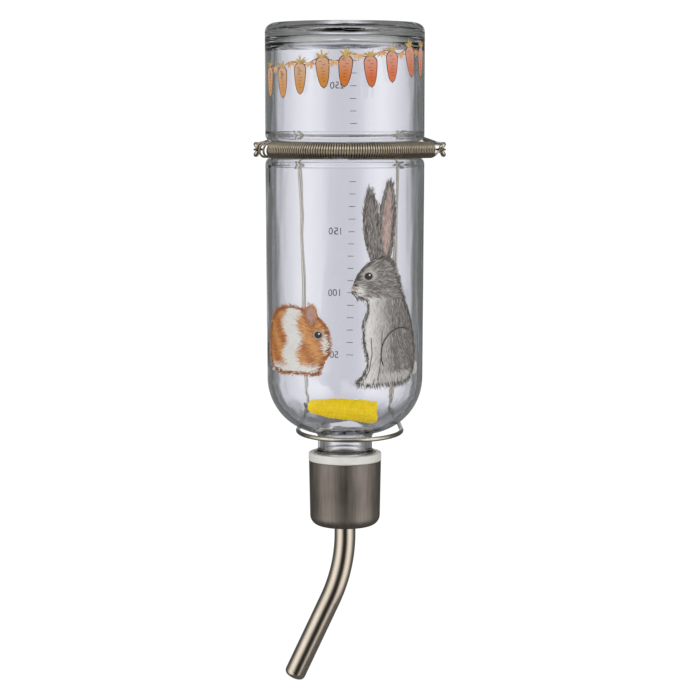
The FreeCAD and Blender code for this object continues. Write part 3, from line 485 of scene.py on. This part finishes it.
def rabbit():
    """A plain grey rabbit sitting up, seen from its left side."""
    art = Drawing("print_rabbit", 11)
    rng = art.rng
    body = Outline([
        (2.6, -46.6), (4.6, -42.2), (8.2, -38.6), (12.4, -36.8), (16.8, -38.2), (19.2, -42.4),
        (21.2, -48.0), (25.0, -54.5), (28.2, -62.0), (29.2, -70.0), (27.6, -77.2), (23.5, -80.6),
        (14.0, -81.0), (5.5, -81.0), (3.4, -79.6), (5.8, -77.6), (7.6, -73.0), (6.4, -66.0),
        (6.2, -59.0), (8.0, -54.2), (7.0, -51.6), (4.0, -50.6), (2.4, -48.8)])
    near_ear = Outline([(13.2, -38.4), (11.6, -29.0), (13.2, -18.0), (16.6, -10.6), (18.6, -17.5),
                        (18.4, -28.0), (16.4, -38.4)])
    far_ear = Outline([(9.6, -39.0), (7.0, -31.0), (6.4, -21.0), (8.4, -13.6), (11.4, -19.5),
                       (12.4, -29.0), (12.6, -38.6)])
    inner_ear = Outline([(14.2, -35.6), (13.3, -28.0), (14.4, -19.0), (16.4, -14.0), (17.2, -19.0),
                         (17.0, -28.0), (15.6, -35.6)])

    def coat_tone(x, y):
        """Grey-brown on the back and head, pale under the chin and on the belly."""
        across = (x - 6.0) / 9.0
        pale = 1.3 - across if y < -50.5 else 0.0
        if y < -76.5:
            pale = max(pale, 0.55)
        muzzle = 1.0 - math.hypot((x - 3.6) / 4.2, (y + 48.6) / 3.4)
        brow = 1.0 - math.hypot((x - 8.2) / 3.6, (y + 42.8) / 2.8)
        pale = max(pale, muzzle * 1.6, brow * 0.9)
        return mixed(mixed(GREY_MID, GREY_LIGHT, 0.28), WHITE, pale)

    def wash(x, y, depth):
        return mixed(GREY_DARK, coat_tone(x, y), 0.35 + depth * 0.5)

    def hair(x, y, _):
        base = coat_tone(x, y)
        pick = rng.random()
        if pick < 0.45:
            return mixed(base, GREY_DARK, rng.uniform(0.2, 0.8) * (1.0 - base[0] * 0.7))
        if pick < 0.75:
            return mixed(base, WHITE, rng.uniform(0.1, 0.5))
        return base

    def dark_hair(*_):
        return mixed(GREY_DARK, GREY_MID, rng.random())

    def ear_hair(*_):
        return mixed(GREY_MID, GREY_LIGHT, rng.random())

    def inner_hair(*_):
        return mixed(PINK, WHITE, rng.random() * 0.6)

    def body_flow(x, y):
        """Hair runs back from the nose, and down the neck, chest and haunch."""
        if y > -51.0:
            return math.atan2(y + 47.5, x - 1.5) * 0.8 - 0.15
        haunch = math.hypot((x - 21.0) / 8.0, (y + 71.0) / 9.0)
        if haunch < 1.0:
            return math.radians(-62) + 0.05 * (x - 21.0)
        return math.radians(-84) + 0.02 * (x - 15.0)

    def ear_flow(*_):
        return math.radians(86)

    grey = mixed(GREY_MID, GREY_LIGHT, 0.5)
    for ear, dark in ((far_ear, 0.55), (near_ear, 0.25)):
        art.wash(ear, lambda x, y, d, k=dark: mixed(grey, GREY_DARK, k), 0)
        art.fur(ear, 420, ear_flow, dark_hair, 2.4, 0.24, 1, edge=1.3)
        art.fur(ear, 380, ear_flow, ear_hair, 2.6, 0.22, 2)
    art.wash(inner_ear, lambda x, y, d: mixed(GREY_MID, PINK, 0.4 + d * 0.5), 4)
    art.fur(inner_ear, 160, ear_flow, inner_hair, 2.6, 0.16, 5)
    art.wash(body, wash, 5)
    art.fur(body, 4200, body_flow, hair, 2.3, 0.24, 6)
    art.fur(body, 1100, body_flow, dark_hair, 1.8, 0.2, 7, edge=0.9)
    # Haunch.
    hip_x, hip_y, hip_radius = 21.5, -70.5, 8.6
    art.arc(hip_x, hip_y, hip_radius, 60, 205, 0.4, GREY_DARK, 9, flat=1.05)
    for _ in range(60):
        turn = math.radians(rng.uniform(55, 210))
        art.stroke(hip_x + hip_radius * math.cos(turn), hip_y + 9.0 * math.sin(turn), turn - 2.0,
                   2.2, 0.2, dark_hair(), 10, 0.2)
    # Tail.
    art.blob(29.6, -76.2, 2.2, 2.6, mixed(GREY_LIGHT, WHITE, 0.5), 3)
    for _ in range(90):
        turn = rng.uniform(0, 2 * math.pi)
        length = rng.uniform(1.6, 3.2)
        art.stroke(29.4, -76.2, turn, length, 0.24, mixed(GREY_LIGHT, WHITE, rng.random()), 4)
    # Forelegs and toes.
    art.line([(9.2, -64.5), (9.6, -70.0), (8.6, -76.0), (7.0, -79.0)], 0.28, GREY_DARK, 10)
    art.line([(13.4, -62.0), (13.2, -69.0), (12.4, -76.0), (11.6, -79.4)], 0.28, GREY_DARK, 10)
    for x in (5.0, 6.6, 10.4, 12.0, 20.0, 22.0):
        art.line([(x, -78.9), (x - 0.3, -80.7)], 0.22, GREY_DARK, 10)
    # Face.
    eye(art, 8.3, -43.2, 1.25, 10)
    art.blob(2.9, -47.1, 0.75, 0.55, PINK, 10, 0.6)
    art.line([(3.0, -47.8), (4.2, -48.9), (5.8, -49.1)], 0.2, GREY_DARK, 10)
    whiskers(art, 4.0, -47.2, math.radians(178), 11)
    art.finish()


def guinea_pig():
    """A plain ginger and white guinea pig, seen from its right side."""
    art = Drawing("print_guinea_pig", 23)
    rng = art.rng
    body = Outline([
        (-4.4, -66.0), (-5.6, -61.4), (-8.8, -57.6), (-13.0, -55.8), (-18.0, -54.2), (-24.0, -54.6),
        (-29.6, -58.0), (-32.8, -64.0), (-33.0, -71.0), (-30.4, -76.2), (-24.0, -77.6),
        (-15.0, -77.4), (-9.6, -77.6), (-7.8, -75.6), (-6.6, -72.4), (-4.6, -69.8)])
    ear = Outline([(-12.6, -60.6), (-14.6, -57.4), (-13.6, -54.0), (-10.8, -53.4), (-9.6, -56.6),
                   (-10.4, -60.0)])

    def coat_tone(x, y):
        """Ginger head and rump, a white saddle, blaze and belly."""
        saddle = 1.3 - abs(x + 19.5 + 1.2 * math.sin(y * 0.6)) / 3.4
        blaze = 1.0 - math.hypot((x + 5.2) / 2.6, (y + 66.5) / 5.4)
        belly = (-73.2 - y) / 2.2
        pale = max(saddle * 2.0, blaze * 2.4, belly)
        ginger = mixed(GINGER, GINGER_LIGHT, 0.5 + 0.5 * math.sin(x * 0.8 + y * 0.5))
        return mixed(ginger, WHITE, pale)

    def wash(x, y, depth):
        return mixed(GINGER_DARK, coat_tone(x, y), 0.45 + depth * 0.5)

    def hair(x, y, _):
        base = coat_tone(x, y)
        pick = rng.random()
        if pick < 0.4:
            return mixed(base, GINGER_DARK, rng.uniform(0.1, 0.65) * (1.05 - base[2]))
        if pick < 0.7:
            return mixed(base, GINGER_LIGHT if base[2] < 0.4 else WHITE, rng.uniform(0.2, 0.7))
        return base

    def rim_hair(*_):
        return mixed(GINGER_DARK, GINGER, rng.random())

    def flow(_, y):
        """Hair runs back along the body and spreads a little above and below."""
        return math.pi - (y + 66.0) * 0.035

    art.wash(body, wash, 0)
    art.fur(body, 3200, flow, hair, 2.5, 0.28, 1)
    art.fur(body, 700, flow, rim_hair, 1.9, 0.22, 3, edge=0.8)
    art.wash(ear, lambda x, y, d: mixed(GINGER_DARK, PINK, 0.3 + d * 0.6), 5)
    art.fur(ear, 120, lambda x, y: math.radians(110), hair, 1.5, 0.2, 6, edge=0.9)
    eye(art, -9.4, -63.6, 1.2, 7)
    art.blob(-4.9, -66.7, 0.7, 0.6, PINK, 7)
    art.line([(-4.9, -67.5), (-5.8, -68.9), (-7.2, -69.2)], 0.2, GREY_DARK, 7)
    whiskers(art, -6.0, -66.8, math.radians(2), 8)
    # Feet.
    for x in (-10.4, -27.6):
        art.blob(x, -77.0, 2.5, 1.0, PINK, 5)
        for k in (-1, 0, 1):
            art.line([(x + k * 1.1, -76.6), (x + k * 1.3, -78.0)], 0.2, GREY_DARK, 7)
    art.finish()


def garland():
    """A wavy garland of carrots and leaves round the top of the glass."""
    art = Drawing("print_garland", 5)
    rng = art.rng
    count = 9
    first, last = -33.0, 34.0
    overhang, knot = 2.5, 0.5
    step = (last - first) / (count - 1)
    shades = [(0.80, 0.40, 0.16), (0.62, 0.26, 0.03), (0.70, 0.12, 0.02), (0.78, 0.30, 0.18)]
    leaf_dark, leaf_pale = (0.62, 0.26, 0.10), (0.85, 0.55, 0.28)

    def string(x):
        """Height of the string, which rises to the right in small waves."""
        return 28.0 + 0.11 * (x - first) + 0.8 * math.sin(x * 0.55)

    spots = [first - overhang + knot * k for k in range(int((last - first + 2 * overhang) / knot))]
    art.line([(x, string(x)) for x in spots], 0.42, (0.30, 0.13, 0.04), 0)
    for i in range(count):
        place = i / (count - 1) * (len(shades) - 1)
        low = min(int(place), len(shades) - 2)
        shade = mixed(shades[low], shades[low + 1], place - low)
        x = first + i * step
        carrot(art, x, string(x), math.radians(-90 + rng.uniform(-9, 9)), 10.2, 4.5, shade)
        if i < count - 1:
            middle = x + step / 2
            for k in range(5):
                art.stroke(middle, string(middle), math.radians(-160 + k * 35), 2.4, 0.85,
                           mixed(leaf_dark, leaf_pale, rng.random()), 1, rng.gauss(0, 0.2))
    art.finish()


def carrot(art, x, y, lean, length, width, shade):
    """A carrot hanging from its leaves, darker at its rim."""
    rng = art.rng
    along = (math.cos(lean), math.sin(lean))
    outline_ink = (0.12, 0.035, 0.012)
    leaf_dark, leaf_pale = (0.42, 0.28, 0.06), (0.75, 0.52, 0.20)
    parts = 12
    for grow, near, far, coat in (
            (0.3, outline_ink, outline_ink, 2), (0.0, mixed(shade, WHITE, 0.35), shade, 3)):
        previous = None
        for k in range(parts + 1):
            share = k / parts
            half = (width / 2 + grow) * math.sqrt(1 - share ** 2.2) * min(1.0, 0.55 + share * 4)
            px = x + along[0] * (length * share + grow * (2 * share - 1))
            py = y + along[1] * (length * share + grow * (2 * share - 1))
            edge = ((px - along[1] * half, py + along[0] * half),
                    (px + along[1] * half, py - along[0] * half))
            if previous:
                corners = [previous[1], edge[1], edge[0], previous[0]]
                art.face(corners, mixed(near, far, share * 1.4), coat)
            previous = edge
    for k in range(7):
        share = 0.12 + 0.11 * k
        side = 1 if k % 2 else -1
        px = x + along[0] * length * share - along[1] * side * width * 0.3 * (1 - share)
        py = y + along[1] * length * share + along[0] * side * width * 0.3 * (1 - share)
        art.stroke(px, py, lean - side * math.radians(90), 1.3, 0.2,
                   mixed(outline_ink, shade, 0.3), 4)
    for k in range(9):
        art.stroke(x, y, lean + math.pi + math.radians(-60 + k * 15), rng.uniform(2.2, 3.4), 0.7,
                   mixed(leaf_dark, leaf_pale, rng.random()), 1, rng.gauss(0, 0.4))


def volume_scale():
    """Fill marks on the back of the glass, one line for each 10 ml."""
    art = Drawing("print_scale", 1)
    grey = (0.30, 0.30, 0.36)
    back = math.pi * BODY_RADIUS / MM
    marks = [(50, -76.4), (100, -53.3), (150, -30.6), (200, -7.6), (250, 22.7)]
    unnumbered = 200  # too close to the groove to carry a number
    heights = [up for _, up in marks]
    lines = [low + (high - low) * k / 5
             for low, high in zip(heights[:3], heights[1:4]) for k in range(5)]
    lines += [heights[-1] + 4.6 * k for k in range(-3, 3)]
    for up in lines:
        art.line([(back - 4.4, up), (back - 1.9, up)], 0.22, grey, 1)
    for number, up in marks:
        if number != unnumbered:
            figures(art, str(number), back + 3.2, up, grey)
    art.finish()


def figures(art, text, across, up, colour):
    """Plain upright figures centred on a place."""
    curve = bpy.data.curves.new("figures", "FONT")
    curve.body = text
    curve.size = 3.6
    curve.align_x = "CENTER"
    curve.align_y = "CENTER"
    words = bpy.data.objects.new("figures", curve)
    bpy.context.scene.collection.objects.link(words)
    bpy.context.view_layer.update()
    flat = bpy.data.meshes.new_from_object(words)
    for polygon in flat.polygons:
        points = [flat.vertices[v].co for v in polygon.vertices]
        art.face([(across + p.x, up + p.y) for p in points], colour, 1)
    bpy.data.meshes.remove(flat)
    bpy.data.objects.remove(words)
    bpy.data.curves.remove(curve)


rabbit()
guinea_pig()
garland()
volume_scale()


# ---------------------------------------------------------------------- float
def cob_float():
    """Corn-cob float with raised kernels, lying where the CAD float lies."""
    low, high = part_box("cob_float")
    length = 25.6 * MM
    tilt = math.radians(5.0)
    centre = (Vector(low) + Vector(high)) / 2
    along = Vector((-math.cos(tilt), 0, math.sin(tilt)))
    side = Vector((0, 1, 0))
    over = along.cross(side)
    rows, rings = 16, 18
    per_row, per_ring = 8, 6  # mesh steps across and along each kernel
    kernel = 0.24 * MM  # height of a kernel
    end, end_radius, end_swell = 1.1 * MM, 2.9 * MM, 1.25 * MM
    body_radius, body_taper, taper_start = 4.13 * MM, 1.65 * MM, 0.35
    nose, nose_radius = 1.5 * MM, 2.48 * MM
    body = length - end - nose
    steps = rings * per_ring
    mesh = bmesh.new()
    grid = []

    def radius_at(distance):
        """Radius of the cob under its kernels: a rounded butt, a tapering body and a nose."""
        if distance < end:
            share = distance / end
            return end_radius + end_swell * math.sqrt(max(0.0, 1 - (1 - share) ** 2))
        share = (distance - end) / body
        if share <= 1.0:
            taper = max(0.0, (share - taper_start) / (1 - taper_start)) ** 1.6
            return body_radius - body_taper * taper
        tip = (distance - (length - nose)) / nose
        return nose_radius * math.sqrt(max(0.0, 1 - tip * tip))

    stations = [end * k / 4 for k in range(4)]
    stations += [end + body * k / steps for k in range(steps + 1)]
    stations += [length - nose + nose * k / 5 for k in range(1, 5)]
    for distance in stations:
        base = radius_at(distance)
        inner = end <= distance <= length - nose
        share = (distance - end) / body
        ring = []
        for k in range(rows * per_row):
            turn = 2 * math.pi * k / (rows * per_row)
            height = 0.0
            if inner:
                across = abs(math.sin(turn * rows / 2))
                lengthwise = abs(math.sin(math.pi * share * rings))
                height = kernel * (across ** 0.45) * (lengthwise ** 0.4)
            r = base + height - kernel / 3
            spot = centre + along * (distance - length / 2)
            spot += side * (r * math.sin(turn)) + over * (r * math.cos(turn))
            ring.append(mesh.verts.new(spot))
        grid.append(ring)
    for a, b in zip(grid, grid[1:]):
        n = len(a)
        for k in range(n):
            mesh.faces.new([a[k], a[(k + 1) % n], b[(k + 1) % n], b[k]])
    for ring, distance, flip in ((grid[0], 0.0, True), (grid[-1], length, False)):
        middle = mesh.verts.new(centre + along * (distance - length / 2))
        n = len(ring)
        for k in range(n):
            corners = [ring[k], ring[(k + 1) % n], middle]
            mesh.faces.new(corners[::-1] if flip else corners)
    bmesh.ops.recalc_face_normals(mesh, faces=mesh.faces)
    data = bpy.data.meshes.new("cob_kernels")
    mesh.to_mesh(data)
    mesh.free()
    obj = new_piece("cob_kernels", data, COB_YELLOW, "float")
    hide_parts("cob_float")


cob_float()


# ----------------------------------------------------------- floor and lights
def floor_material():
    """White to the eye, and a soft grey in the light it throws back."""
    material, tree, shader = new_material("floor_white")
    shader.inputs["Base Color"].default_value = (FLOOR_GREY, FLOOR_GREY, FLOOR_GREY, 1)
    shader.inputs["Roughness"].default_value = 0.9
    white = add_node(tree, "ShaderNodeEmission", Color=(1, 1, 1, 1), Strength=PAPER_WHITE)
    path = add_node(tree, "ShaderNodeLightPath")
    pick = add_node(tree, "ShaderNodeMixShader")
    tree.links.new(path.outputs["Is Camera Ray"], pick.inputs["Fac"])
    tree.links.new(shader.outputs["BSDF"], pick.inputs[1])
    tree.links.new(white.outputs["Emission"], pick.inputs[2])
    tree.links.new(pick.outputs["Shader"], tree.nodes["Material Output"].inputs["Surface"])
    return material


def floor():
    """Plain pale floor, well below the hanging part."""
    mesh = bmesh.new()
    bmesh.ops.create_circle(mesh, cap_ends=True, radius=FLOOR_RADIUS, segments=96)
    data = bpy.data.meshes.new("floor")
    mesh.to_mesh(data)
    mesh.free()
    obj = bpy.data.objects.new("floor", data)
    obj.location = (AXIS_X, AXIS_Y, cad_low[2] - FLOOR_DROP)
    data.materials.append(floor_material())
    bpy.context.scene.collection.objects.link(obj)


def curve_of(tree, value, stops, colour=None):
    """Brightness along the range -1 to 1, given as (place, level) stops and tinted by colour."""
    spread = add_node(tree, "ShaderNodeMapRange")
    spread.inputs["From Min"].default_value = -1.0
    tree.links.new(value, spread.inputs["Value"])
    tint = colour or (1.0, 1.0, 1.0)
    shades = [((place + 1) / 2, tuple(c * level for c in tint)) for place, level in stops]
    return ramp(tree, spread.outputs["Result"], shades)


def math_node(tree, operation, first, second=None):
    """Result of a sum on one or two values, each a number or another node's output."""
    node = add_node(tree, "ShaderNodeMath", operation=operation)
    for place, value in enumerate((first, second)):
        if value is None:
            continue
        if isinstance(value, (int, float)):
            node.inputs[place].default_value = value
        else:
            tree.links.new(value, node.inputs[place])
    return node.outputs["Value"]


def facing(degrees):
    """Place on the front-to-back scale of a direction this far round from the front."""
    return math.cos(math.radians(degrees))


def studio_world():
    """Soft studio, set by direction: a narrow pale backdrop, a tall soft light on each side,
    one above and one high in front. The camera sees plain white in place of all of it."""
    world = bpy.data.worlds.new("studio")
    world.use_nodes = True
    bpy.context.scene.world = world
    tree = world.node_tree
    tree.nodes.clear()
    place = add_node(tree, "ShaderNodeTexCoord")
    split = add_node(tree, "ShaderNodeSeparateXYZ")
    tree.links.new(place.outputs["Generated"], split.inputs["Vector"])
    x, y, z = split.outputs["X"], split.outputs["Y"], split.outputs["Z"]
    flat = math_node(tree, "SQRT", math_node(
        tree, "ADD", math_node(tree, "MULTIPLY", x, x), math_node(tree, "MULTIPLY", y, y)))
    flat = math_node(tree, "MAXIMUM", flat, 0.0001)  # so that it can divide
    front = math_node(tree, "DIVIDE", math_node(tree, "MULTIPLY", y, -1.0), flat)
    backdrop = curve_of(tree, front, [
        (facing(180), 0.76), (facing(173), 0.74), (facing(168), 0.26),
        (facing(162), 0.0)], (0.97, 0.97, 1.035))
    window = curve_of(tree, z, [
        (-0.5, 0.12), (-0.26, 0.22), (-0.17, 1.0), (0.2, 1.0), (0.36, 0.3), (0.6, 0.2)])
    backdrop = colour_node(tree, "MULTIPLY", backdrop, window)
    gloom = curve_of(tree, front, [
        (facing(180), 0.0), (facing(168), 0.12), (facing(160), 0.17), (facing(125), 0.14),
        (facing(15), 0.05), (facing(0), 0.04)], (0.96, 1.0, 0.965))
    sides = curve_of(tree, front, [
        (facing(118), 0.0), (facing(98), 0.30), (facing(80), 1.1), (facing(57), 1.7),
        (facing(36), 1.2), (facing(20), 0.2), (facing(10), 0.0)], (1.0, 0.965, 0.92))
    height = curve_of(tree, z, [(-0.8, 0.05), (-0.6, 0.35), (-0.45, 1.0), (0.4, 1.0), (0.8, 0.3)])
    above = curve_of(tree, z, [(0.45, 0.0), (0.78, 0.22), (1.0, 0.35)])
    overhead = colour_node(
        tree, "MULTIPLY",
        curve_of(tree, front, [(facing(75), 0.0), (facing(45), 1.0)]),
        curve_of(tree, z, [(0.28, 0.0), (0.42, 1.3), (0.68, 1.3), (0.85, 0.0)]))
    total = colour_node(tree, "MULTIPLY", sides, height)
    for part in (above, overhead, gloom, backdrop):
        total = colour_node(tree, "ADD", total, part)
    around = add_node(tree, "ShaderNodeBackground")
    tree.links.new(total, around.inputs["Color"])
    plain = add_node(tree, "ShaderNodeBackground", Color=(1, 1, 1, 1), Strength=PAPER_WHITE)
    path = add_node(tree, "ShaderNodeLightPath")
    pick = add_node(tree, "ShaderNodeMixShader")
    tree.links.new(path.outputs["Is Camera Ray"], pick.inputs["Fac"])
    tree.links.new(around.outputs["Background"], pick.inputs[1])
    tree.links.new(plain.outputs["Background"], pick.inputs[2])
    output = add_node(tree, "ShaderNodeOutputWorld")
    tree.links.new(pick.outputs["Shader"], output.inputs["Surface"])


def camera():
    """The main view: in front, a little above the groove, looking down a little."""
    reach, aside, above = 0.767, 0.0018, 0.0128
    pitch = math.radians(6.29)
    data = bpy.data.cameras.new("camera")
    data.sensor_width = 36.0
    data.lens = 110.6
    obj = bpy.data.objects.new("camera", data)
    obj.location = (AXIS_X + aside, AXIS_Y - reach, GROOVE + above)
    obj.rotation_euler = (math.radians(90) - pitch, 0, 0)
    bpy.context.scene.collection.objects.link(obj)
    bpy.context.scene.camera = obj


floor()
studio_world()
camera()
bpy.context.scene.view_settings.view_transform = "Standard"
